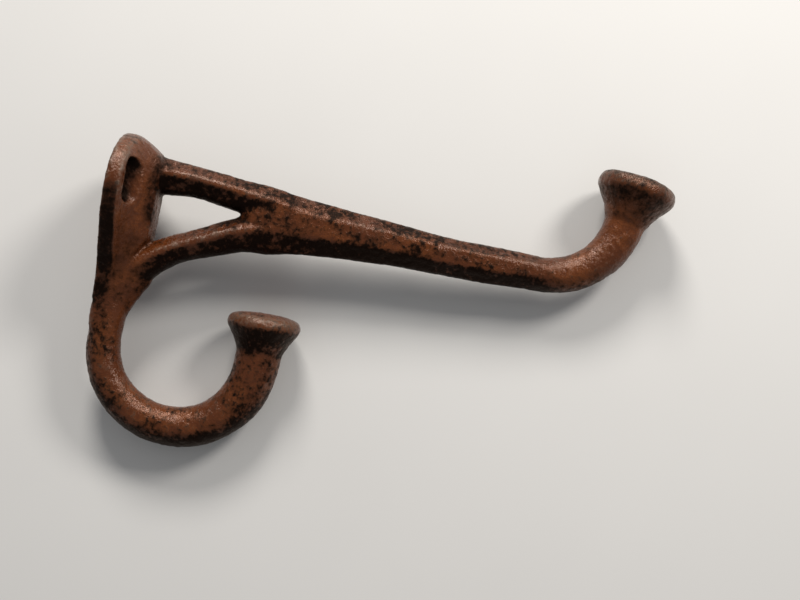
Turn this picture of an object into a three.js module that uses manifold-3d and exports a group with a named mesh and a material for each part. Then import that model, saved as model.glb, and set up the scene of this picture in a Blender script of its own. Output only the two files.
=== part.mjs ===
// Cast-iron hat and coat hook for a wall: one rough sand casting, built here as its members.
// Millimetres. +Z runs up the wall and +Y into it; the origin is on the flat back of the wall plate.
// Every member lies about the plane X = 0 and stands out from the wall towards -Y.
import * as THREE from 'three';
import { mergeVertices } from 'three/addons/utils/BufferGeometryUtils.js';
import Module from 'manifold-3d';

const wasm = await Module();
wasm.setup();

// Driving dimensions. "Out" is the distance from the wall and "up" the height above the origin.
const GAP = 0.3;                 // clearance between neighbouring members
const PLATE_HALF_WIDTH = 12.2;
const PLATE_TOP = 12.3;
const PLATE_BOTTOM = -12.4;
const PLATE_EDGE = 2.8;          // thickness at the plate's side edges
const SPINE_OUT = 8.2;           // how far the plate's spine stands out from the wall
const SPINE_HALF_WIDTH = 3.5;
const STEM_HALF_WIDTH = 3.6;

const SCREW_ACROSS = 8.4;        // screw slot centre, either side of the spine
const SCREW_UP = 3.4;
const SCREW_SLOT = { radius: 1.8, halfLength: 1.9 };
const COUNTERSINK = { floor: 2, depth: 1.2, flare: 0.6 };

const MEMBER_WIDTH = 7;          // arm, brace, bar and stem, measured across
const EDGE_ROUND = { across: 2.2, grow: 1.2 };   // rounding of their long edges
const JUNCTION_OUT = 30;         // where the arm and its brace become one bar
const BAR_END_OUT = 79;

const STEM_FOOT_UP = -22;
const COAT_HOOK = { centreOut: 17.65, centreUp: -25.4, radius: 14.4, startRadius: 3.1, endRadius: 4.3 };
const COAT_KNOB_BASE = { out: 32.1, up: -22.2, lean: 2 };

const CROOK = { centreOut: 80.6, centreUp: 16.9, radius: 14.2, startRadius: 3.3, endRadius: 3.8 };
const CROOK_END_DEG = -8;
const HAT_KNOB_BASE = { out: 94.75, up: 15.5, lean: -9 };

const KNOB_SEGMENTS = 36;
const ROD_SEGMENTS = 20;
const HALF_TURN = Math.PI;

// One casting, so every member has the same rubbed brown iron, a shade lighter where hands rub it.
const IRON = 0x5a3a2c;
const RUBBED_IRON = 0x6e4a39;

function castIron(colour) {
  return new THREE.MeshStandardMaterial({ color: colour, roughness: 0.55, metalness: 0.6 });
}

function member(name, geometry, colour = IRON) {
  const mesh = new THREE.Mesh(geometry, castIron(colour));
  mesh.name = name;
  return mesh;
}

// ---- Solids from manifold-3d, for the cut and joined plate only ----

function toSolid(geometry) {
  const bare = geometry.clone();
  bare.deleteAttribute('normal');
  bare.deleteAttribute('uv');
  const merged = mergeVertices(bare, 1e-5);
  return new wasm.Manifold(new wasm.Mesh({
    numProp: 3,
    vertProperties: new Float32Array(merged.attributes.position.array),
    triVerts: new Uint32Array(merged.index.array),
  }));
}

function toGeometry(solid) {
  const mesh = solid.getMesh();
  const geometry = new THREE.BufferGeometry();
  geometry.setAttribute('position', new THREE.BufferAttribute(new Float32Array(mesh.vertProperties), 3));
  geometry.setIndex(new THREE.BufferAttribute(new Uint32Array(mesh.triVerts), 1));
  geometry.computeVertexNormals();
  return geometry;
}

// ---- Shapes. Everything below is drawn in side view: x is out, y is up and z is across ----

function outline(corners) {
  return new THREE.Shape(corners.map(([x, y]) => new THREE.Vector2(x, y)));
}

function points(pairs) {
  return pairs.map(([x, y]) => new THREE.Vector2(x, y));
}

// A member drawn by its flat side face: two curved long edges joined by straight ends. The rounding
// of its edges then adds EDGE_ROUND.grow all round.
function curvedMember({ start, upperEdge, end, lowerEdge }) {
  const shape = new THREE.Shape();
  shape.moveTo(...start[0]);
  shape.splineThru(points(upperEdge));
  end.forEach((corner) => shape.lineTo(...corner));
  shape.splineThru(points(lowerEdge));
  start.slice(1).forEach((corner) => shape.lineTo(...corner));
  const geometry = new THREE.ExtrudeGeometry(shape, {
    depth: MEMBER_WIDTH - 2 * EDGE_ROUND.across,
    bevelEnabled: true,
    bevelThickness: EDGE_ROUND.across,
    bevelSize: EDGE_ROUND.grow,
    bevelSegments: 3,
    curveSegments: 5,
  });
  geometry.translate(0, 0, EDGE_ROUND.across - MEMBER_WIDTH / 2);
  return geometry;
}

// A round rod bent along a curve in the side view, tapering evenly from one radius to the other.
function bentRod(curve, startRadius, endRadius, steps) {
  const geometry = new THREE.CylinderGeometry(1, 1, 1, ROD_SEGMENTS, steps);
  const position = geometry.attributes.position;
  for (let i = 0; i < position.count; i += 1) {
    const along = position.getY(i) + 0.5;
    const radius = THREE.MathUtils.lerp(startRadius, endRadius, along);
    const centre = curve.getPointAt(along);
    const tangent = curve.getTangentAt(along);
    const sideways = position.getX(i) * radius;
    position.setXYZ(
      i,
      centre.x + tangent.y * sideways,
      centre.y - tangent.x * sideways,
      position.getZ(i) * radius,
    );
  }
  geometry.computeVertexNormals();
  return geometry;
}

// A mushroom knob on a flaring neck, turned about its own axis and leaning in the side view.
function knob({ neckRadius, rimRadius, flareHeight, flareTurn, rimHeight, crown }, base) {
  const profile = new THREE.Path();
  profile.moveTo(0, 0);
  profile.lineTo(neckRadius, 0);
  profile.quadraticCurveTo(neckRadius + flareTurn, 0.6 * flareHeight, rimRadius - 0.7, flareHeight);
  profile.quadraticCurveTo(rimRadius, flareHeight + 0.1, rimRadius, flareHeight + 0.45 * rimHeight);
  profile.quadraticCurveTo(rimRadius, flareHeight + rimHeight, rimRadius - 1.6, flareHeight + rimHeight);
  profile.quadraticCurveTo(0.4 * rimRadius, flareHeight + rimHeight + crown, 0, flareHeight + rimHeight + crown);
  const geometry = new THREE.LatheGeometry(profile.getPoints(5), KNOB_SEGMENTS);
  geometry.rotateZ(THREE.MathUtils.degToRad(base.lean));
  geometry.translate(base.out, base.up, 0);
  return geometry;
}

// ---- The wall plate ----

// Seen from the front: an arched top that narrows down to the stem.
function plateOutline() {
  const shape = new THREE.Shape();
  shape.moveTo(STEM_HALF_WIDTH, PLATE_BOTTOM);
  shape.bezierCurveTo(6.6, -10.5, PLATE_HALF_WIDTH, -4, PLATE_HALF_WIDTH, 2.6);
  shape.bezierCurveTo(PLATE_HALF_WIDTH, 9, 6.4, PLATE_TOP, 0, PLATE_TOP);
  shape.bezierCurveTo(-6.4, PLATE_TOP, -PLATE_HALF_WIDTH, 9, -PLATE_HALF_WIDTH, 2.6);
  shape.bezierCurveTo(-PLATE_HALF_WIDTH, -4, -6.6, -10.5, -STEM_HALF_WIDTH, PLATE_BOTTOM);
  return shape;
}

// Cut across: flat back, square side edges, and faces that sweep up to the spine.
function plateSection() {
  const shape = new THREE.Shape();
  shape.moveTo(0, -PLATE_HALF_WIDTH);
  shape.lineTo(PLATE_EDGE, -PLATE_HALF_WIDTH);
  shape.quadraticCurveTo(3.9, -7.6, SPINE_OUT, -SPINE_HALF_WIDTH);
  shape.lineTo(SPINE_OUT, SPINE_HALF_WIDTH);
  shape.quadraticCurveTo(3.9, 7.6, PLATE_EDGE, PLATE_HALF_WIDTH);
  shape.lineTo(0, PLATE_HALF_WIDTH);
  return shape;
}

// Seen from the side: the spine is level behind the arm and falls away to the stem and the top.
function plateProfile() {
  return outline([
    [0, PLATE_BOTTOM], [5, PLATE_BOTTOM], [6.3, -9.6], [SPINE_OUT, -6.2],
    [SPINE_OUT, 9.4], [6.3, 10.8], [4, 11.6], [2, PLATE_TOP + 0.1], [0, PLATE_TOP + 0.1],
  ]);
}

function slotShape(radius) {
  const shape = new THREE.Shape();
  shape.absarc(0, SCREW_SLOT.halfLength, radius, 0, HALF_TURN);
  shape.absarc(0, -SCREW_SLOT.halfLength, radius, HALF_TURN, 2 * HALF_TURN);
  return shape;
}

// The tool that cuts one slot: straight through, then flaring to the countersink.
function screwSlotCutter(across) {
  const through = new THREE.ExtrudeGeometry(slotShape(SCREW_SLOT.radius), {
    depth: SPINE_OUT + 2, bevelEnabled: false, curveSegments: 10,
  });
  through.translate(0, 0, -1);
  const flared = new THREE.ExtrudeGeometry(slotShape(SCREW_SLOT.radius), {
    depth: SPINE_OUT,
    bevelEnabled: true,
    bevelThickness: COUNTERSINK.depth,
    bevelSize: COUNTERSINK.flare,
    bevelSegments: 1,
    curveSegments: 10,
  });
  flared.translate(0, 0, COUNTERSINK.floor + COUNTERSINK.depth);
  const cutter = toSolid(through).add(toSolid(flared));
  return cutter.rotate([0, 90, 0]).translate([0, SCREW_UP, across]);
}

function wallPlate() {
  const across = 2 * PLATE_HALF_WIDTH + 2;
  const tall = PLATE_TOP - PLATE_BOTTOM + 2;
  const fromFront = new THREE.ExtrudeGeometry(plateOutline(), {
    depth: SPINE_OUT + 1, bevelEnabled: false, curveSegments: 12,
  });
  fromFront.rotateY(HALF_TURN / 2);
  const section = new THREE.ExtrudeGeometry(plateSection(), {
    depth: tall, bevelEnabled: false, curveSegments: 8,
  });
  section.rotateX(-HALF_TURN / 2);
  section.translate(0, PLATE_BOTTOM - 1, 0);
  const fromSide = new THREE.ExtrudeGeometry(plateProfile(), { depth: across, bevelEnabled: false });
  fromSide.translate(0, 0, -across / 2);
  const blank = toSolid(fromFront).intersect(toSolid(section)).intersect(toSolid(fromSide));
  const drilled = blank
    .subtract(screwSlotCutter(SCREW_ACROSS))
    .subtract(screwSlotCutter(-SCREW_ACROSS));
  return member('wall_plate', toGeometry(drilled));
}

// ---- The hat arm: top arm, brace, bar, crook and knob ----

const ARM_ROOT = SPINE_OUT + GAP + EDGE_ROUND.grow;
const ARM_END = JUNCTION_OUT - EDGE_ROUND.grow;

function topArm() {
  return member('top_arm', curvedMember({
    start: [[ARM_ROOT, 8]],
    upperEdge: [[14, 7.6], [21.8, 7.2], [ARM_END, 6.7]],
    end: [[ARM_END, 2.7]],
    lowerEdge: [[23.7, 3.3], [15.3, 4.2], [ARM_ROOT, 3.6]],
  }));
}

function armBrace() {
  return member('arm_brace', curvedMember({
    start: [[9.9, -6.8], [7, -11.4], [7.7, -10.2]],
    upperEdge: [[16.3, -3.7], [24, 0.25], [ARM_END, -0.2]],
    end: [[ARM_END, -3.5]],
    lowerEdge: [[24.6, -4.6], [17.1, -6.8], [13.3, -8.8], [10.5, -11.9]],
  }));
}

function armBar() {
  const start = JUNCTION_OUT + GAP + EDGE_ROUND.grow;
  const end = BAR_END_OUT - EDGE_ROUND.grow;
  return member('arm_bar', curvedMember({
    start: [[start, 6.4]],
    upperEdge: [[40, 5.9], [50, 5.2], [60, 4.7], [71, 4.6], [end, 4.7]],
    end: [[end, 0.5]],
    lowerEdge: [[71, -0.2], [61, -0.3], [51.5, -0.6], [36, -2.2], [start, -3.2]],
  }));
}

function arc({ centreOut, centreUp, radius }, fromDeg, toDeg) {
  return new THREE.EllipseCurve(
    centreOut, centreUp, radius, radius,
    THREE.MathUtils.degToRad(fromDeg), THREE.MathUtils.degToRad(toDeg), toDeg < fromDeg,
  );
}

function hatCrook() {
  const { centreOut, centreUp, radius, startRadius, endRadius } = CROOK;
  const path = new THREE.CurvePath();
  const bendStart = new THREE.Vector2(centreOut, centreUp - radius);
  path.add(new THREE.LineCurve(new THREE.Vector2(BAR_END_OUT + GAP, bendStart.y), bendStart));
  path.add(arc(CROOK, -90, CROOK_END_DEG));
  return member('hat_crook', bentRod(path, startRadius, endRadius, 16), RUBBED_IRON);
}

function hatKnob() {
  const shape = { neckRadius: 3.9, rimRadius: 7.6, flareHeight: 5.6, flareTurn: 0.6, rimHeight: 3, crown: 0.6 };
  return member('hat_knob', knob(shape, HAT_KNOB_BASE), RUBBED_IRON);
}

// ---- The coat hook: stem, C-shaped hook and knob ----

function hookStem() {
  const back = EDGE_ROUND.grow;
  const foot = STEM_FOOT_UP + EDGE_ROUND.grow;
  const head = PLATE_BOTTOM - GAP - EDGE_ROUND.grow;
  return member('hook_stem', curvedMember({
    start: [[back, foot]],
    upperEdge: [[back, -17], [back, head]],
    end: [[5.3, head], [8.9, head - 0.6]],
    lowerEdge: [[7, -17.2], [5.8, -19.8], [4.9, foot]],
  }));
}

function coatHook() {
  const { centreOut, centreUp, radius, startRadius, endRadius } = COAT_HOOK;
  const left = new THREE.Vector2(centreOut - radius, centreUp);
  const right = new THREE.Vector2(centreOut + radius, centreUp);
  const path = new THREE.CurvePath();
  path.add(new THREE.LineCurve(new THREE.Vector2(left.x, STEM_FOOT_UP - GAP), left));
  path.add(arc(COAT_HOOK, 180, 360));
  path.add(new THREE.LineCurve(right, new THREE.Vector2(right.x, COAT_KNOB_BASE.up - GAP)));
  return member('coat_hook', bentRod(path, startRadius, endRadius, 36), RUBBED_IRON);
}

function coatKnob() {
  const shape = { neckRadius: 4.8, rimRadius: 7, flareHeight: 4, flareTurn: 0.9, rimHeight: 2.4, crown: 0.5 };
  return member('coat_knob', knob(shape, COAT_KNOB_BASE), RUBBED_IRON);
}

// ---- The casting: side view turned to stand out from the wall ----

const hook = new THREE.Group();
const sideView = new THREE.Matrix4().makeBasis(
  new THREE.Vector3(0, -1, 0),
  new THREE.Vector3(0, 0, 1),
  new THREE.Vector3(-1, 0, 0),
);
hook.quaternion.setFromRotationMatrix(sideView);
hook.add(
  wallPlate(),
  topArm(),
  armBrace(),
  armBar(),
  hatCrook(),
  hatKnob(),
  hookStem(),
  coatHook(),
  coatKnob(),
);

export default hook;
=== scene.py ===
"""A rustic cast-iron hat and coat hook: one rough sand casting with a rubbed brown finish.

The casting is made whole, so that its members run into each other with soft fillets, and is then
sawn along the members' borders into one closed piece for each.
"""

import math

import bmesh
import bpy
import numpy as np
from bpy.props import FloatProperty, FloatVectorProperty, IntProperty, PointerProperty
from mathutils import Matrix, Vector, noise


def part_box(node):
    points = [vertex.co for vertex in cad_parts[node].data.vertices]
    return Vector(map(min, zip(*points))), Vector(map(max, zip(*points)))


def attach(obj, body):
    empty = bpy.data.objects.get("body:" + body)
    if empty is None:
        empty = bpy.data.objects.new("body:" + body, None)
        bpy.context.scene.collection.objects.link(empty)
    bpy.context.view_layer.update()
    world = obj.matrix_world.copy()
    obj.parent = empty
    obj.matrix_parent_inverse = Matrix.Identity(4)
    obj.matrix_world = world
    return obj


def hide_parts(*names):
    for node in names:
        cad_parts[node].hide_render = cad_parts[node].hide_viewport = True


bl_info = {
    "name": "Cast-iron hat and coat hook",
    "version": (1, 0, 0),
    "blender": (4, 5, 0),
    "location": "3D View > Sidebar > Hook",
    "description": "Casts a rustic hat and coat hook and its plain studio stage",
    "category": "Add Mesh",
}

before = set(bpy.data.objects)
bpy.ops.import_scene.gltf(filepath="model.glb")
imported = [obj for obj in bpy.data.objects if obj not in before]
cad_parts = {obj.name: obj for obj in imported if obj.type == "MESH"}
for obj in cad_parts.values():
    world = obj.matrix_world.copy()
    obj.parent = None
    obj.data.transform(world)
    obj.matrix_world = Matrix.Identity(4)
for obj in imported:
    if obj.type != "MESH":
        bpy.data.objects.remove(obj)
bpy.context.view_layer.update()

MM = 0.001
PLATE_LOW, PLATE_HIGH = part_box("wall_plate")
BAR_LOW, BAR_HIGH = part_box("arm_bar")
STEM_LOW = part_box("hook_stem")[0]
HAT_KNOB_LOW, HAT_KNOB_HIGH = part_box("hat_knob")
COAT_KNOB_LOW, COAT_KNOB_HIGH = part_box("coat_knob")

# Turns (out, up, across) in millimetres, as a member is drawn from its side, into the wall's axes.
SIDE_VIEW_AXES = Matrix(((0, 0, 1), (-1, 0, 0), (0, 1, 0)))

# Heights and distances out from the wall, in millimetres, at which one member meets the next.
HALF_GAP = 0.15
PLATE_TOP = PLATE_HIGH.z / MM
PLATE_BOTTOM = PLATE_LOW.z / MM
PLATE_HALF_WIDTH = PLATE_HIGH.x / MM
SPINE_OUT = -PLATE_LOW.y / MM
STEM_FOOT = STEM_LOW.z / MM - HALF_GAP
JUNCTION_OUT = -BAR_HIGH.y / MM - HALF_GAP
BAR_END_OUT = -BAR_LOW.y / MM + HALF_GAP

# Where each knob stands on its rod: out, up and lean in degrees.
HAT_KNOB_SEAT = (94.75, 15.5, -9)
COAT_KNOB_SEAT = (32.1, -22.2, 2)


# ---- Settings ----

class CastingSizes(bpy.types.PropertyGroup):
    voxel: FloatProperty(
        name="Surface cell", description="Size of the cells that the whole casting is meshed in",
        default=0.0003, min=0.0002, unit="LENGTH", subtype="DISTANCE")
    softening: IntProperty(
        name="Softening", description="Smoothing passes that round the fillets and edges",
        default=7, min=0)
    plate_edge: FloatProperty(
        name="Plate edge", description="Thickness of the plate at its side edges",
        default=0.0028, unit="LENGTH", subtype="DISTANCE")
    spine_half_width: FloatProperty(
        name="Spine half width", description="Half the width of the plate's raised spine",
        default=0.0035, unit="LENGTH", subtype="DISTANCE")
    screw_across: FloatProperty(
        name="Screw spacing", description="From the middle of the plate to a screw slot",
        default=0.0084, unit="LENGTH", subtype="DISTANCE")
    screw_up: FloatProperty(
        name="Screw height", description="Height of the screw slots above the plate's middle",
        default=0.0034, unit="LENGTH", subtype="DISTANCE")
    lumps: FloatProperty(
        name="Lumps", description="How far the casting swells and sinks along its members",
        default=0.00016, unit="LENGTH", subtype="DISTANCE")
    sand: FloatProperty(
        name="Sand grain", description="Height of the grain left by the sand mould",
        default=0.00008, unit="LENGTH", subtype="DISTANCE")


class IronFinish(bpy.types.PropertyGroup):
    brown: FloatVectorProperty(
        name="Brown", description="Rubbed reddish-brown iron", subtype="COLOR",
        default=(0.088, 0.0215, 0.0043), min=0, max=1)
    rust: FloatVectorProperty(
        name="Warm brown", description="Warmer brown where the coat is thin", subtype="COLOR",
        default=(0.17, 0.045, 0.0078), min=0, max=1)
    # Black for painted shade in hollows and on undersides, and for dark stains.
    black: FloatVectorProperty(
        name="Black", description="Black left in hollows and undersides", subtype="COLOR",
        default=(0.009, 0.0032, 0.0012), min=0, max=1)
    # Greyer iron for worn edges, also used as a painted sheen on up-facing surfaces.
    bare_and_sheen: FloatVectorProperty(
        name="Bare edge", description="Greyer iron along worn edges", subtype="COLOR",
        default=(0.12, 0.072, 0.05), min=0, max=1)
    stage: FloatVectorProperty(
        name="Stage", description="Pale floor and surroundings", subtype="COLOR",
        default=(0.7, 0.7, 0.7), min=0, max=1)


# ---- Shader writing ----

class Number:
    """A number socket, so that shader maths reads as ordinary Python."""

    def __init__(self, graph, socket):
        self.graph = graph
        self.socket = socket

    def _maths(self, operation, *values):
        return self.graph.node("ShaderNodeMath", {"operation": operation}, dict(enumerate(values)))

    def __add__(self, other):
        return self._maths("ADD", self, other)

    __radd__ = __add__

    def __sub__(self, other):
        return self._maths("SUBTRACT", self, other)

    def __rsub__(self, other):
        return self._maths("SUBTRACT", other, self)

    def __mul__(self, other):
        return self._maths("MULTIPLY", self, other)

    __rmul__ = __mul__

    def between(self, low, high):
        """0 below low, 1 above high and a soft rise from one to the other."""
        settings = {"interpolation_type": "SMOOTHSTEP"}
        return self.graph.node("ShaderNodeMapRange", settings, {"Value": self, 1: low, 2: high})


class Graph:
    """The node tree of one material, written a node at a time."""

    def __init__(self, name):
        self.material = bpy.data.materials.new(name)
        self.material.use_nodes = True
        self.tree = self.material.node_tree
        self.tree.nodes.clear()

    def node(self, kind, settings=None, inputs=None, output=0):
        made = self.tree.nodes.new(kind)
        for key, value in (settings or {}).items():
            setattr(made, key, value)
        for key, value in (inputs or {}).items():
            if isinstance(value, Number):
                self.tree.links.new(value.socket, made.inputs[key])
            else:
                made.inputs[key].default_value = value
        return Number(self, made.outputs[output]) if made.outputs else None

    def noise(self, place, scale, detail, roughness):
        inputs = {"Vector": place, "Scale": scale, "Detail": detail, "Roughness": roughness}
        return self.node("ShaderNodeTexNoise", None, inputs)

    def mark(self, name):
        return self.node("ShaderNodeAttribute", {"attribute_name": name}, None, "Fac")

    def mix(self, factor, first, second):
        inputs = {0: factor, 6: first, 7: second}
        return self.node("ShaderNodeMix", {"data_type": "RGBA"}, inputs, output=2)

    def surface(self, shader):
        self.node("ShaderNodeOutputMaterial", {"is_active_output": True}, {"Surface": shader})


def opaque(colour):
    return (*colour, 1.0)


def cast_iron(name, finish, rubbed):
    """Brown rubbed iron: black in the hollows and undersides as painted shade and in stain
    blotches, greyer on worn edges, with a painted sheen on up-facing surfaces and a fine sand
    grain.

    The noises' scales are cells to the metre, from clouds of about 8 mm down to grains of sand.
    """
    graph = Graph(name)
    place = graph.node("ShaderNodeTexCoord", None, None, "Object")
    wear_and_sheen = graph.mark("wear_and_sheen")
    shade = graph.mark("shade")
    stain = graph.mark("stain")
    clouds = graph.noise(place, 120, 3, 0.5)
    patches = graph.noise(place, 300, 5, 0.65)
    specks = graph.noise(place, 1100, 3, 0.65)
    grain = graph.noise(place, 2600, 3, 0.7)

    warm = (0.5 * clouds + 0.5 * specks).between(0.42, 0.6)
    coat = graph.mix(warm, opaque(finish.brown), opaque(finish.rust))
    # Worn edges turn greyer, and up-facing surfaces do too as a painted sheen.
    worn_and_sheen = (wear_and_sheen + 1.8 * specks - 0.9).between(0.35 - rubbed, 1.05 - rubbed)
    worn_and_sheen_coat = graph.mix(worn_and_sheen, coat, opaque(finish.bare_and_sheen))
    blotches = clouds + 1.3 * patches + 1.8 * specks - 2.0
    # Painted shade and stain blotches both turn the colour black.
    dark = (1.5 * shade + stain * blotches).between(-0.24, 0.42)
    colour = graph.mix(dark, worn_and_sheen_coat, opaque(finish.black))

    roughness = 0.12 + 0.26 * specks + 0.2 * dark - 0.03 * worn_and_sheen
    metallic = 0.1 + 0.75 * dark - 0.05 * worn_and_sheen
    height = 0.15 * patches + 0.5 * specks + 0.3 * grain
    bump = graph.node(
        "ShaderNodeBump", None, {"Strength": 0.6, "Distance": 0.0005, "Height": height})
    shader = graph.node("ShaderNodeBsdfPrincipled", None, {
        "Base Color": colour, "Roughness": roughness, "Metallic": metallic, "Normal": bump,
        "Specular IOR Level": 0.45, "Specular Tint": opaque((1, 0.93, 0.88))})
    graph.surface(shader)
    return graph.material


def one_sided_pale(name, colour):
    """A pale matt surface with a faint mottle, seen from its front only."""
    graph = Graph(name)
    place = graph.node("ShaderNodeTexCoord", None, None, "Object")
    mottle = graph.noise(place, 40, 2, 0.5)
    tint = graph.mix(mottle, opaque(colour), opaque([0.97 * part for part in colour]))
    front = graph.node("ShaderNodeBsdfDiffuse", None, {"Color": tint})
    back = graph.node("ShaderNodeBsdfTransparent")
    behind = graph.node("ShaderNodeNewGeometry", None, None, "Backfacing")
    graph.surface(graph.node("ShaderNodeMixShader", None, {0: behind, 1: front, 2: back}))
    return graph.material


# ---- Solids in side view: out from the wall, up, and across, all in millimetres ----

def place_at(out, up, across=0.0):
    return SIDE_VIEW_AXES @ Vector((out, up, across)) * MM


def through(stations, steps):
    """A smooth curve's worth of rows through a list of rows."""
    rows = [np.array(row, float) for row in stations]
    rows = [2 * rows[0] - rows[1], *rows, 2 * rows[-1] - rows[-2]]
    smooth = []
    for a, b, c, d in zip(rows, rows[1:], rows[2:], rows[3:]):
        for step in range(steps):
            t = step / steps
            square = 2 * a - 5 * b + 4 * c - d
            cube = 3 * (b - c) + d - a
            smooth.append(b + 0.5 * t * (c - a + t * (square + t * cube)))
    return smooth + [rows[-2]]


def skinned(rings):
    """A closed mesh over a row of rings, capped at both ends."""
    bm = bmesh.new()
    made = [[bm.verts.new(point) for point in ring] for ring in rings]
    for ring, following in zip(made, made[1:]):
        for i, corner in enumerate(ring):
            before = i - 1
            bm.faces.new((ring[before], corner, following[i], following[before]))
    bm.faces.new(made[0])
    bm.faces.new(made[-1][::-1])
    bmesh.ops.recalc_face_normals(bm, faces=bm.faces)
    mesh = bpy.data.meshes.new("solid")
    bm.to_mesh(mesh)
    bm.free()
    return mesh


# Sections of the members, as (across, up) for a half width and a half height of 1.
ROUND_SIDES = 32


def both_sides(half):
    return half + [(-across, height) for across, height in reversed(half)]


ROUND = [
    (math.cos(turn), math.sin(turn))
    for turn in np.linspace(0, 2 * math.pi, ROUND_SIDES + 1)[:-1]]
# The bar: a narrow top with worn corners, upright sides and a lower band that turns under.
FACETED = both_sides([(0.3, 1), (0.95, 0.52), (1, 0.42), (1, -0.3), (0.95, -0.4), (0.4, -1)])
# The slimmer arms: one facet turned up to the light and one turned under.
TWO_FACED = both_sides([(0.3, 1), (0.93, 0.4), (1, 0.25), (1, 0.05), (0.62, -0.75), (0.3, -1)])
# The stem: flat on the wall, upright sides and a worn ridge down the front.
RIDGED = both_sides([(0.18, 1), (0.62, 0.55), (0.95, -0.1), (1, -0.6), (0.8, -0.95), (0.5, -1)])


def bar(stations, section, steps=6):
    """A solid along stations of (out, up, heading in degrees, half height, half width)."""
    rings = []
    for out, up, heading, tall, wide in through(stations, steps):
        turn = math.radians(heading)
        rings.append([
            place_at(out - math.sin(turn) * v * tall, up + math.cos(turn) * v * tall, u * wide)
            for u, v in section])
    return skinned(rings)


def bend(centre_out, centre_up, radius, from_degrees, to_degrees, start, end, count):
    """Stations round an arc, for a rod that tapers from one radius to the other."""
    stations = []
    for step in range(count + 1):
        share = step / count
        angle = from_degrees + share * (to_degrees - from_degrees)
        turn = math.radians(angle)
        thick = start + share * (end - start)
        stations.append((
            centre_out + radius * math.cos(turn), centre_up + radius * math.sin(turn),
            angle + 90, thick, thick))
    return stations


def turned(profile, base_out, base_up, lean):
    """A solid of revolution from (height, radius) rows, leaning towards the wall by degrees."""
    turn = math.radians(lean)
    rings = []
    for height, radius in through(profile, 5):
        rings.append([
            place_at(
                base_out - math.sin(turn) * height + math.cos(turn) * u * radius,
                base_up + math.cos(turn) * height + math.sin(turn) * u * radius,
                v * radius)
            for u, v in ROUND])
    return skinned(rings)


# ---- The members ----

def bezier(a, b, c, d, count):
    a, b, c, d = (np.array(point, float) for point in (a, b, c, d))
    curve = []
    for t in np.linspace(0, 1, count + 1):
        s = 1 - t
        curve.append(s ** 3 * a + 3 * s * s * t * b + 3 * s * t * t * c + t ** 3 * d)
    return curve


def plate_blank(sizes):
    """The plate before drilling: arched top, flat back and faces that sweep up to a spine."""
    tail_up = -19                      # the plate's tail runs down inside the stem
    tail_half_width = 3.2
    widest_up = 2.6
    side = bezier(
        (tail_half_width, tail_up), (tail_half_width, -11.5),
        (PLATE_HALF_WIDTH, -5.5), (PLATE_HALF_WIDTH, widest_up), 18)
    arch = bezier(
        (PLATE_HALF_WIDTH, widest_up), (PLATE_HALF_WIDTH, 9),
        (6.4, PLATE_TOP), (0.6, PLATE_TOP), 14)
    spine_heights = [tail_up, PLATE_BOTTOM, -9.6, -6.2, 7.6, 9.4, 10.9, 11.8, PLATE_TOP]
    spine_outs = [3.6, 5.2, 6.4, SPINE_OUT, SPINE_OUT, 7.3, 5.2, 3.4, 2.2]
    edge = sizes.plate_edge / MM
    rings = []
    for wide, up in side + arch[1:]:
        spine = np.interp(up, spine_heights, spine_outs)
        crest = min(sizes.spine_half_width / MM, 0.7 * wide)
        low = min(edge, 0.8 * spine)
        lip = 0.985 * wide
        half = [(0.0, wide), (0.55 * low, wide), (low, lip)]
        dip = (low + 0.16 * (spine - low), crest + 0.46 * (wide - crest))
        for t in np.linspace(0, 1, 9)[1:]:
            s = 1 - t
            half.append((
                s * s * low + 2 * s * t * dip[0] + t * t * (spine - 0.4),
                s * s * lip + 2 * s * t * dip[1] + t * t * crest))
        half.append((spine, 0.45 * crest))
        ring = [place_at(out, up, across) for out, across in half]
        ring += [place_at(out, up, -across) for out, across in reversed(half)]
        rings.append(ring)
    return skinned(rings)


SLOT_HALF_LENGTH = 2.2             # from a slot's middle to the centre of its rounded end, in mm


def slot_cutter(sizes, side):
    """A tall slot, straight at the back and opening to a worn countersink at the front."""
    depths = [(-1, 1.45), (1.8, 1.45), (2.6, 1.6), (4.0, 1.95), (5.0, 2.05), (12, 2.1)]
    rings = []
    for out, radius in depths:
        ring = []
        for u, v in ROUND:
            shift = SLOT_HALF_LENGTH if v > 0 else -SLOT_HALF_LENGTH
            ring.append(place_at(
                out, sizes.screw_up / MM + shift + v * radius,
                side * sizes.screw_across / MM + u * radius))
        rings.append(ring)
    return skinned(rings)


def with_modifiers(mesh, prepare):
    """The mesh after the modifiers that prepare adds to a passing object."""
    holder = bpy.data.objects.new("passing", mesh)
    bpy.context.scene.collection.objects.link(holder)
    prepare(holder)
    graph = bpy.context.evaluated_depsgraph_get()
    result = bpy.data.meshes.new_from_object(holder.evaluated_get(graph))
    bpy.data.objects.remove(holder)
    return result


def drilled_plate(sizes):
    cutters = []
    for side in (-1, 1):
        cutter = bpy.data.objects.new("cutter", slot_cutter(sizes, side))
        bpy.context.scene.collection.objects.link(cutter)
        cutters.append(cutter)

    def prepare(holder):
        for cutter in cutters:
            cut = holder.modifiers.new("slot", "BOOLEAN")
            cut.operation = "DIFFERENCE"
            cut.solver = "EXACT"
            cut.object = cutter

    plate = with_modifiers(plate_blank(sizes), prepare)
    for cutter in cutters:
        bpy.data.objects.remove(cutter)
    return plate


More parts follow.
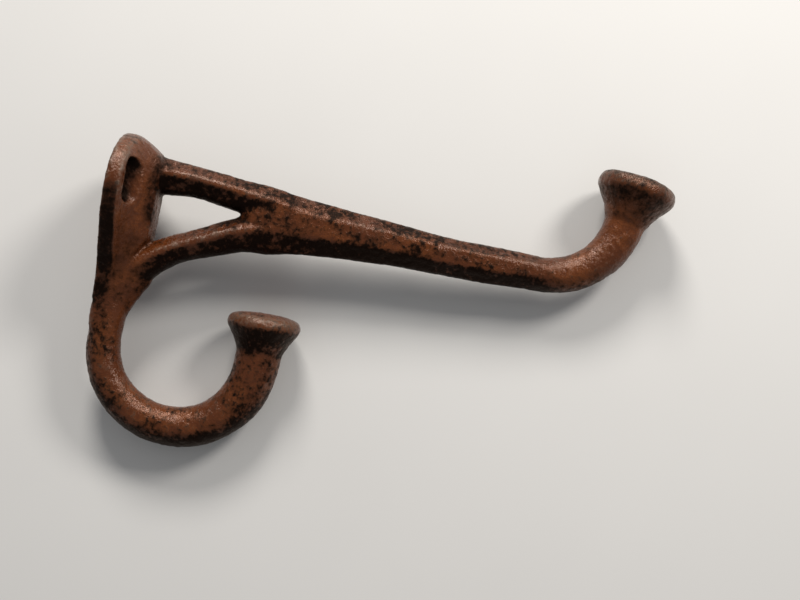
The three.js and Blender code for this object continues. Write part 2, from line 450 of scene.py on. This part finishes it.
def hat_arm():
    """The top arm and its brace, which meet and run on as one bar."""
    half = 3.45                        # half the width of the arms and the bar
    top_arm = bar([
        (4.5, 6.0, -2, 3.5, half), (9, 5.85, -2, 3.35, half), (15, 6.0, -2, 2.85, half),
        (22, 5.4, -6, 3.05, half), (29, 4.6, -5, 3.4, half), (35, 3.8, -4, 3.4, 3.3)], TWO_FACED)
    brace = bar([
        (4.2, -14.5, 48, 2.6, 3.2), (7.2, -11.2, 46, 3.1, 3.4), (12, -7.6, 32, 2.75, half),
        (17.5, -4.85, 24, 2.8, half), (24, -1.9, 18, 3.3, half), (29.5, -0.6, 6, 3.9, half),
        (35, 0.9, 0, 3.9, 3.3)], TWO_FACED)
    main_bar = bar([
        (23.5, 1.9, -6, 0.6, 1.6), (26, 1.8, -4, 3.0, 2.9), (28.6, 1.8, -4, 5.4, 3.35),
        (32, 1.9, -3, 5.7, half), (37, 2.05, -2, 5.2, half),
        (43, 2.2, 0, 4.65, half), (51.5, 2.35, -1, 4.1, half), (61, 2.2, -1, 3.65, half),
        (70.6, 2.35, 1, 3.6, 3.4), (78, 2.7, 2, 3.3, 3.3), (82, 2.85, 5, 3.0, 3.0),
        (86, 3.5, 12, 2.3, 2.3)], FACETED)
    return [top_arm, brace, main_bar]


def hat_crook():
    path = [(70, 2.4, 1, 2.2, 2.2), (74, 2.55, 1, 2.8, 2.8), (77.5, 2.65, 1, 3.2, 3.2)]
    path += bend(80.6, 16.9, 14.2, -90, -6, 3.3, 3.85, 8)
    return bar(path, ROUND)


def knob_profile(base, flare, rim, thick, crown, neck):
    """Rows from inside the rod up a flaring neck, over a soft rim and across a low crown."""
    return [
        (base, neck - 1.3), (-0.2, neck), (0.5 * flare, neck + 0.36 * (rim - neck)),
        (flare, rim - 0.6), (flare + 0.3 * thick, rim - 0.05), (flare + 0.62 * thick, rim - 0.1),
        (flare + 0.9 * thick, rim - 0.7), (flare + thick, rim - 1.7),
        (flare + thick + 0.75 * crown, 0.45 * rim), (flare + thick + crown, 0.4)]


def knobs():
    hat_rim = (HAT_KNOB_HIGH.x - HAT_KNOB_LOW.x) / 2 / MM
    coat_rim = (COAT_KNOB_HIGH.x - COAT_KNOB_LOW.x) / 2 / MM
    return [
        turned(knob_profile(-3, 5.0, hat_rim, 3.6, 0.6, 3.85), *HAT_KNOB_SEAT),
        turned(knob_profile(-2.2, 3.3, coat_rim, 3.1, 0.5, 4.4), *COAT_KNOB_SEAT)]


def coat_hook():
    """The stem below the plate and the C-shaped rod that it runs into."""
    stem = bar([
        (4.3, -7, -90, 4.0, 3.5), (4.9, -11.5, -90, 4.9, 3.6), (4.85, -14, -90, 4.8, 3.55),
        (4.15, -17, -90, 4.1, 3.4), (3.5, -20, -90, 3.45, 3.25), (3.05, -23, -90, 2.95, 2.95),
        (3.1, -26, -90, 2.4, 2.4)], RIDGED)
    path = [(3.5, -17, 270, 2.8, 2.8), (3.4, -20, 270, 3.0, 3.0), (3.28, -22.7, 270, 3.1, 3.1)]
    path += bend(17.65, -25.4, 14.4, 180, 360, 3.1, 4.3, 16)
    path += [(32.0, COAT_KNOB_SEAT[1] + 1.5, 450, 4.35, 4.35)]
    return [stem, bar(path, ROUND)]


# ---- The whole casting ----

def spread(values, edges, counts, passes):
    """Values eased halfway towards their neighbours' mean, a given number of times."""
    for _ in range(passes):
        total = np.zeros_like(values)
        np.add.at(total, edges[:, 0], values[edges[:, 1]])
        np.add.at(total, edges[:, 1], values[edges[:, 0]])
        values = 0.5 * values + 0.5 * total / counts
    return values


def read_vectors(collection, attribute):
    flat = np.zeros(len(collection) * 3)
    collection.foreach_get(attribute, flat)
    return flat.reshape(-1, 3)


def ramp(values, low, high):
    """0 at low, 1 at high and a straight rise or fall from one to the other."""
    return np.clip((values - low) / (high - low), 0, 1)


def finish_marks(place, normals, bulge, sizes):
    """How worn and sheened, how black, mostly from painted shade, and how stained the finish is at
    each spot of the casting.
    """
    across, out, up = np.abs(place[:, 0]) / MM, -place[:, 1] / MM, place[:, 2] / MM
    facing_up = np.clip(normals[:, 2], 0, 1)

    # Worn edges bulge and up-facing surfaces get a painted sheen. Painted shade blackens what
    # faces down or sinks in; up-facing surfaces are painted lighter below the arms and darker
    # above.
    wear_and_sheen = np.clip(bulge, -1, 1) + 0.28 * np.clip(normals[:, 2], -1, 1)
    shade = 0.62 * np.clip(-normals[:, 2] - 0.05, 0, 1)
    shade += (0.28 * ramp(up, -6, -2) - 0.1) * facing_up
    shade -= 0.3 * np.clip(bulge, -0.45, 0.8)

    # The crook and the plate's face get less painted shade and fewer stains than the arms.
    crook_end = ramp(out, 78, 86)
    on_plate = ramp(out, 9, 7) * ramp(up, -22, -13)
    less_shade_and_stain = np.maximum(crook_end, on_plate)
    shade = shade * (1 - 0.45 * less_shade_and_stain) - 0.13 * less_shade_and_stain
    stain = 1 - 0.4 * less_shade_and_stain

    # Painted shade along the plate's side edges, a painted shadow of the arm on the spine's front,
    # and painted shade inside the screw slots, darkest at their tops and deep ends.
    rim = ramp(np.abs(normals[:, 1]), 0.75, 0.45) * ramp(out, 4, 2.8)
    rim *= ramp(up, 5, 1) * ramp(up, -15, -11)
    # Painted shadow of the arm across the spine.
    crest = ramp(out, 6, 7.4) * ramp(up, -5, -2) * ramp(up, 11, 9)
    # Painted shade inside the screw slots.
    past_end = np.maximum(np.abs(up - sizes.screw_up / MM) - SLOT_HALF_LENGTH, 0)
    slot = ramp(np.hypot(across - sizes.screw_across / MM, past_end), 2.4, 1.9)
    slot *= 0.38 * ramp(up, 2, 6) + 0.25 * ramp(out, 4.2, 2.2)
    slot *= ramp(out, 0.15, 0.45)
    shade += (0.31 * rim + 0.3 * crest + 0.7 * slot) * on_plate

    # Black down the back of the stem and round the hat knob's rim.
    stem_back = ramp(out, 3, 1.5) * ramp(up, -22, -19) * ramp(up, -14, -16)
    shade += 0.3 * stem_back + 0.16 * ramp(up, 18, 21)
    return {"wear_and_sheen": wear_and_sheen, "shade": shade, "stain": stain}


BROAD_PASSES = 40                  # smoothing that leaves only the casting's broad form
BULGE_PASSES = 6
FULL_BULGE = 0.35 * MM             # how far a fully worn edge stands above the broad form
LUMP_SCALE = 0.16                  # lumps and sand grains for each millimetre
SAND_SCALE = 0.9
BACK_ROUGHNESS = 0.1               # the back lies flat on the wall, so it keeps little grain


def whole_casting(sizes):
    """All members grown together, softened and given the mould's lumps and grain."""
    solids = [drilled_plate(sizes), *hat_arm(), hat_crook(), *knobs(), *coat_hook()]
    together = bmesh.new()
    for solid in solids:
        together.from_mesh(solid)
    joined = bpy.data.meshes.new("joined")
    together.to_mesh(joined)
    together.free()

    def prepare(holder):
        remesh = holder.modifiers.new("grow_together", "REMESH")
        remesh.mode = "VOXEL"
        remesh.voxel_size = sizes.voxel

    casting = with_modifiers(joined, prepare)
    edges = np.zeros(len(casting.edges) * 2, int)
    casting.edges.foreach_get("vertices", edges)
    edges = edges.reshape(-1, 2)
    counts = np.bincount(edges.ravel(), minlength=len(casting.vertices)).reshape(-1, 1)
    place = spread(read_vectors(casting.vertices, "co"), edges, counts, sizes.softening)
    casting.vertices.foreach_set("co", place.ravel())
    casting.update()

    normals = read_vectors(casting.vertex_normals, "vector")
    broad = spread(place, edges, counts, BROAD_PASSES)
    bulge = np.sum((place - broad) * normals, axis=1, keepdims=True)
    bulge = spread(bulge, edges, counts, BULGE_PASSES)[:, 0] / FULL_BULGE
    back = place[:, 1] > -0.05 * MM
    rough = np.zeros(len(place))
    for i, point in enumerate(place):
        spot = Vector(point) / MM
        rough[i] = sizes.lumps * noise.noise(spot * LUMP_SCALE)
        rough[i] += sizes.sand * noise.fractal(spot * SAND_SCALE, 0.8, 2.0, 3)
    rough[back] *= BACK_ROUGHNESS
    grown = place + normals * rough[:, None]
    grown[:, 1] = np.minimum(grown[:, 1], 0)
    casting.vertices.foreach_set("co", grown.ravel())
    casting.update()

    for name, values in finish_marks(place, normals, bulge, sizes).items():
        layer = casting.attributes.new(name, "FLOAT", "POINT")
        layer.data.foreach_set("value", values.astype(np.float32))
    return casting


# ---- Sawing it into its members ----

HAIR = 0.002                       # lets a cut reach the rim that an earlier cut left
CRUMB_FACES = 200                  # a body with fewer faces is no member


def lean_direction(lean):
    turn = math.radians(lean)
    return (-math.sin(turn), math.cos(turn))


def saw_cuts():
    """Each cut: a point and direction in side view, and the box of (out, up) it stays within."""
    hat = HAT_KNOB_SEAT
    coat = COAT_KNOB_SEAT
    below_plate = PLATE_BOTTOM - HALF_GAP
    before_spine = SPINE_OUT + HALF_GAP
    arms_part = (23.7, 1.7)
    return [
        ((0, below_plate), (0, 1), (-5, 18, below_plate - 5, below_plate + 5)),
        ((before_spine, 0), (1, 0), (before_spine - 5, before_spine + 5, below_plate - HAIR, 20)),
        ((JUNCTION_OUT, 0), (1, 0), (JUNCTION_OUT - 5, JUNCTION_OUT + 5, -11, 14)),
        (arms_part, (0, 1), (14, JUNCTION_OUT + HAIR, -9, 12)),
        ((BAR_END_OUT, 0), (1, 0), (BAR_END_OUT - 4, BAR_END_OUT + 4, -8, 12)),
        (hat[:2], lean_direction(hat[2]), (80, 110, hat[1] - 6, hat[1] + 6)),
        ((0, STEM_FOOT), (0, 1), (-5, 14, STEM_FOOT - 4, STEM_FOOT + 4)),
        (coat[:2], lean_direction(coat[2]), (22, 44, coat[1] - 4, coat[1] + 4)),
    ]


# A spot inside each member, out and up, that tells which piece is which.
MEMBER_SPOTS = {
    "wall_plate": (3, 0), "top_arm": (15, 6), "arm_brace": (15, -5.5), "arm_bar": (55, 2.3),
    "hat_crook": (89, 6), "hat_knob": (96, 22), "hook_stem": (4, -17), "coat_hook": (17, -39),
    "coat_knob": (32, -18),
}


def parts_of(bm):
    """The separate bodies of a mesh, as lists of faces."""
    left = set(bm.faces)
    bodies = []
    while left:
        body = [left.pop()]
        for face in body:
            for edge in face.edges:
                for neighbour in edge.link_faces:
                    if neighbour in left:
                        left.remove(neighbour)
                        body.append(neighbour)
        bodies.append(body)
    return bodies


def sawn_members(casting):
    """The casting cut at its members' borders: a closed mesh for each member's name."""
    bm = bmesh.new()
    bm.from_mesh(casting)
    bm.verts.layers.float_vector.new("whole")
    for spot, direction, (out_low, out_high, up_low, up_high) in saw_cuts():
        inside = {
            v for v in bm.verts
            if out_low < -v.co.y / MM < out_high and up_low < v.co.z / MM < up_high}
        faces = [f for f in bm.faces if all(v in inside for v in f.verts)]
        near = set(faces)
        for f in faces:
            near.update(f.edges)
            near.update(f.verts)
        cut = bmesh.ops.bisect_plane(
            bm, geom=list(near), dist=1e-7, plane_co=place_at(*spot),
            plane_no=SIDE_VIEW_AXES @ Vector((*direction, 0)))
        seam = [e for e in cut["geom_cut"] if isinstance(e, bmesh.types.BMEdge)]
        bm.normal_update()
        whole = bm.verts.layers.float_vector["whole"]
        for e in seam:
            for v in e.verts:
                v[whole] = v.normal
        bmesh.ops.split_edges(bm, edges=seam)
    return bm


def member_meshes(casting):
    bm = sawn_members(casting)
    whole = bm.verts.layers.float_vector["whole"]
    bodies = [body for body in parts_of(bm) if len(body) > CRUMB_FACES]
    meshes = {}
    for name, (out, up) in MEMBER_SPOTS.items():
        spot = place_at(out, up)
        body = min(bodies, key=lambda faces: min(
            (f.calc_center_median() - spot).length for f in faces))
        bodies.remove(body)
        meshes[name] = closed_mesh(bm, body, whole, name)
    bm.free()
    return meshes


FINISH_MARKS = ("wear_and_sheen", "shade", "stain")


def closed_mesh(source, body, whole, name):
    """One body copied out, its sawn ends closed, with the uncut casting's normals at its rims."""
    copy = bmesh.new()
    copy.verts.layers.float_vector.new("whole")
    for mark in FINISH_MARKS:
        copy.verts.layers.float.new(mark)
    rim = copy.verts.layers.float_vector["whole"]
    layers = [
        (source.verts.layers.float[mark], copy.verts.layers.float[mark])
        for mark in FINISH_MARKS]
    twins = {}
    for face in body:
        for v in face.verts:
            if v not in twins:
                twins[v] = copy.verts.new(v.co)
                twins[v][rim] = v[whole]
                for old, new in layers:
                    twins[v][new] = v[old]
        copy.faces.new([twins[v] for v in face.verts]).smooth = True
    open_edges = [e for e in copy.edges if e.is_boundary]
    caps = set(bmesh.ops.holes_fill(copy, edges=open_edges, sides=0)["faces"])
    bmesh.ops.recalc_face_normals(copy, faces=copy.faces)
    copy.normal_update()
    for e in open_edges:
        e.smooth = False
    normals = []
    for face in copy.faces:
        for v in face.verts:
            if face in caps:
                normals.append(face.normal.copy())
            elif v[rim].length > 0.5:
                normals.append(v[rim].normalized())
            else:
                normals.append(v.normal.copy())
    mesh = bpy.data.meshes.new(name)
    copy.to_mesh(mesh)
    copy.free()
    mesh.normals_split_custom_set(normals)
    return mesh


class Foundry:
    """Keeps the sawn members between operators, so that the casting is poured only once."""

    members = {}

    @classmethod
    def member(cls, name):
        if not cls.members:
            cls.members = member_meshes(whole_casting(bpy.context.scene.hook_sizes))
        return cls.members[name]


# More rubbing also spreads the painted sheen further on the crook, hook and knobs.
EXTRA_RUB = 0.1                    # how much further hands have worn the crook, hook and knobs


def finished_iron(slot):
    """The finish of one of the part's material slots, made the first time it is asked for."""
    # The iron material holds painted shade and a painted sheen besides its stains and wear.
    name = "aged_shaded_" + slot
    made = bpy.data.materials.get(name)
    if made is None:
        rubbed = EXTRA_RUB if slot == "rubbed_cast_iron" else 0.0
        made = cast_iron(name, bpy.context.scene.hook_finish, rubbed)
    return made


def add_member(node, slot):
    """One member of the casting, standing for the CAD node of the same name."""
    mesh = Foundry.member(node)
    mesh.materials.append(finished_iron(slot))
    piece = bpy.data.objects.new("cast_" + node, mesh)
    bpy.context.scene.collection.objects.link(piece)
    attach(piece, "root")
    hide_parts(node)
    return piece


# ---- Operators ----

class HOOK_OT_wall_plate(bpy.types.Operator):
    """Add the wall plate with its two screw slots"""

    bl_idname = "hook.wall_plate"
    bl_label = "Wall plate"

    def execute(self, context):
        add_member("wall_plate", "cast_iron")
        return {"FINISHED"}


class HOOK_OT_hat_arm(bpy.types.Operator):
    """Add the arm, its brace and the bar they run into"""

    bl_idname = "hook.hat_arm"
    bl_label = "Hat arm"

    def execute(self, context):
        for node in ("top_arm", "arm_brace", "arm_bar"):
            add_member(node, "cast_iron")
        return {"FINISHED"}


class HOOK_OT_hat_crook(bpy.types.Operator):
    """Add the upturned crook and the hat knob on its end"""

    bl_idname = "hook.hat_crook"
    bl_label = "Hat crook and knob"

    def execute(self, context):
        for node in ("hat_crook", "hat_knob"):
            add_member(node, "rubbed_cast_iron")
        return {"FINISHED"}


class HOOK_OT_coat_hook(bpy.types.Operator):
    """Add the stem, the C-shaped coat hook and its knob"""

    bl_idname = "hook.coat_hook"
    bl_label = "Coat hook and knob"

    def execute(self, context):
        add_member("hook_stem", "cast_iron")
        for node in ("coat_hook", "coat_knob"):
            add_member(node, "rubbed_cast_iron")
        return {"FINISHED"}


# ---- The stage ----

TILT = math.radians(12)            # the hook lies turned by this much before the camera
TURN = math.radians(-2)
CAMERA_DISTANCE = 0.21
LOOK_AT = Vector((0, -0.056, -0.0076))
LIGHT_DISTANCE = 0.42
WARM_LIGHT = (1, 0.95, 0.88)
FLOOR_HALF = 0.9
FLOOR_GAP = 0.0003                 # keeps the floor just clear of the lumps on the far side


def camera_axes():
    """Right, up and back of the camera, which looks along +X at the hook's side."""
    back = Vector((-math.cos(TURN), -math.sin(TURN), 0))
    level = (-back).cross(Vector((0, 0, 1))).normalized()
    upright = level.cross(-back)
    right = math.cos(TILT) * level + math.sin(TILT) * upright
    up = math.cos(TILT) * upright - math.sin(TILT) * level
    return right, up, back


def placed(axes, location):
    right, up, back = axes
    turn = Matrix((right, up, back)).transposed().to_4x4()
    return Matrix.Translation(location) @ turn


def soft_light(name, direction, size, watts):
    lamp = bpy.data.lights.new(name, "AREA")
    lamp.shape = "DISK"
    lamp.size = size
    lamp.energy = watts
    lamp.color = WARM_LIGHT
    lit = bpy.data.objects.new(name, lamp)
    bpy.context.scene.collection.objects.link(lit)
    lit.location = LOOK_AT + direction.normalized() * LIGHT_DISTANCE
    lit.rotation_euler = direction.to_track_quat("Z", "Y").to_euler()


def resting_plane():
    """A spot and the normal of the plane that the casting lies on, resting on its far side."""
    edge = Vector((PLATE_HIGH.x, -0.0014, 0.0026))
    hat_middle = (HAT_KNOB_LOW.y + HAT_KNOB_HIGH.y) / 2
    hat = Vector((HAT_KNOB_HIGH.x, hat_middle, HAT_KNOB_HIGH.z - 0.003))
    coat_middle = (COAT_KNOB_LOW.y + COAT_KNOB_HIGH.y) / 2
    coat = Vector((COAT_KNOB_HIGH.x, coat_middle, COAT_KNOB_HIGH.z - 0.002))
    normal = (hat - edge).cross(coat - edge).normalized()
    if normal.x > 0:
        normal.negate()
    return edge, normal


class HOOK_OT_stage(bpy.types.Operator):
    """Add the pale surface the hook lies on, soft studio light and the camera"""

    bl_idname = "hook.stage"
    bl_label = "Stage"

    def execute(self, context):
        scene = context.scene
        pale = scene.hook_finish.stage
        spot, normal = resting_plane()
        across = normal.cross(Vector((0, 0, 1))).normalized()
        along = normal.cross(across)
        middle = spot - normal * FLOOR_GAP
        corners = [
            middle + across * u * FLOOR_HALF + along * v * FLOOR_HALF
            for u, v in ((-1, -1), (1, -1), (1, 1), (-1, 1))]
        mesh = bpy.data.meshes.new("pale_floor")
        mesh.from_pydata(corners, [], [(0, 1, 2, 3)])
        mesh.update()
        if mesh.polygons[0].normal.dot(normal) < 0:
            mesh.flip_normals()
        mesh.materials.append(one_sided_pale("pale_floor", pale))
        floor = bpy.data.objects.new("pale_floor", mesh)
        scene.collection.objects.link(floor)

        world = bpy.data.worlds.new("studio")
        world.use_nodes = True
        sky = world.node_tree.nodes["Background"]
        sky.inputs["Color"].default_value = opaque(pale)
        sky.inputs["Strength"].default_value = 0.42
        scene.world = world
        scene.view_settings.view_transform = "Standard"

        right, up, back = camera_axes()
        soft_light("key_light", 0.7 * right + 0.7 * up + 0.65 * back, 0.12, 1.0)
        soft_light("top_light", -0.1 * right + 1.0 * up + 0.5 * back, 0.14, 1.35)

        lens = bpy.data.cameras.new("camera")
        lens.lens = 50
        lens.sensor_width = 36
        lens.clip_start = 0.005
        camera = bpy.data.objects.new("camera", lens)
        camera.matrix_world = placed((right, up, back), LOOK_AT + back * CAMERA_DISTANCE)
        scene.collection.objects.link(camera)
        scene.camera = camera
        return {"FINISHED"}


class HOOK_PT_panel(bpy.types.Panel):
    """Lists the hook's settings and the operators that build it"""

    bl_idname = "HOOK_PT_panel"
    bl_label = "Hat and coat hook"
    bl_space_type = "VIEW_3D"
    bl_region_type = "UI"
    bl_category = "Hook"

    def draw(self, context):
        scene = context.scene
        for group in (scene.hook_sizes, scene.hook_finish):
            for key in group.__annotations__:
                self.layout.prop(group, key)
        for operator in BUILD_ORDER:
            self.layout.operator(operator.bl_idname)


BUILD_ORDER = (
    HOOK_OT_wall_plate, HOOK_OT_hat_arm, HOOK_OT_hat_crook, HOOK_OT_coat_hook, HOOK_OT_stage)
CLASSES = (CastingSizes, IronFinish, *BUILD_ORDER, HOOK_PT_panel)


def register():
    for cls in CLASSES:
        bpy.utils.register_class(cls)
    bpy.types.Scene.hook_sizes = PointerProperty(type=CastingSizes)
    bpy.types.Scene.hook_finish = PointerProperty(type=IronFinish)


def unregister():
    del bpy.types.Scene.hook_finish
    del bpy.types.Scene.hook_sizes
    for cls in reversed(CLASSES):
        bpy.utils.unregister_class(cls)


def main():
    register()
    bpy.ops.hook.wall_plate()
    bpy.ops.hook.hat_arm()
    bpy.ops.hook.hat_crook()
    bpy.ops.hook.coat_hook()
    bpy.ops.hook.stage()


if __name__ == "__main__":
    main()
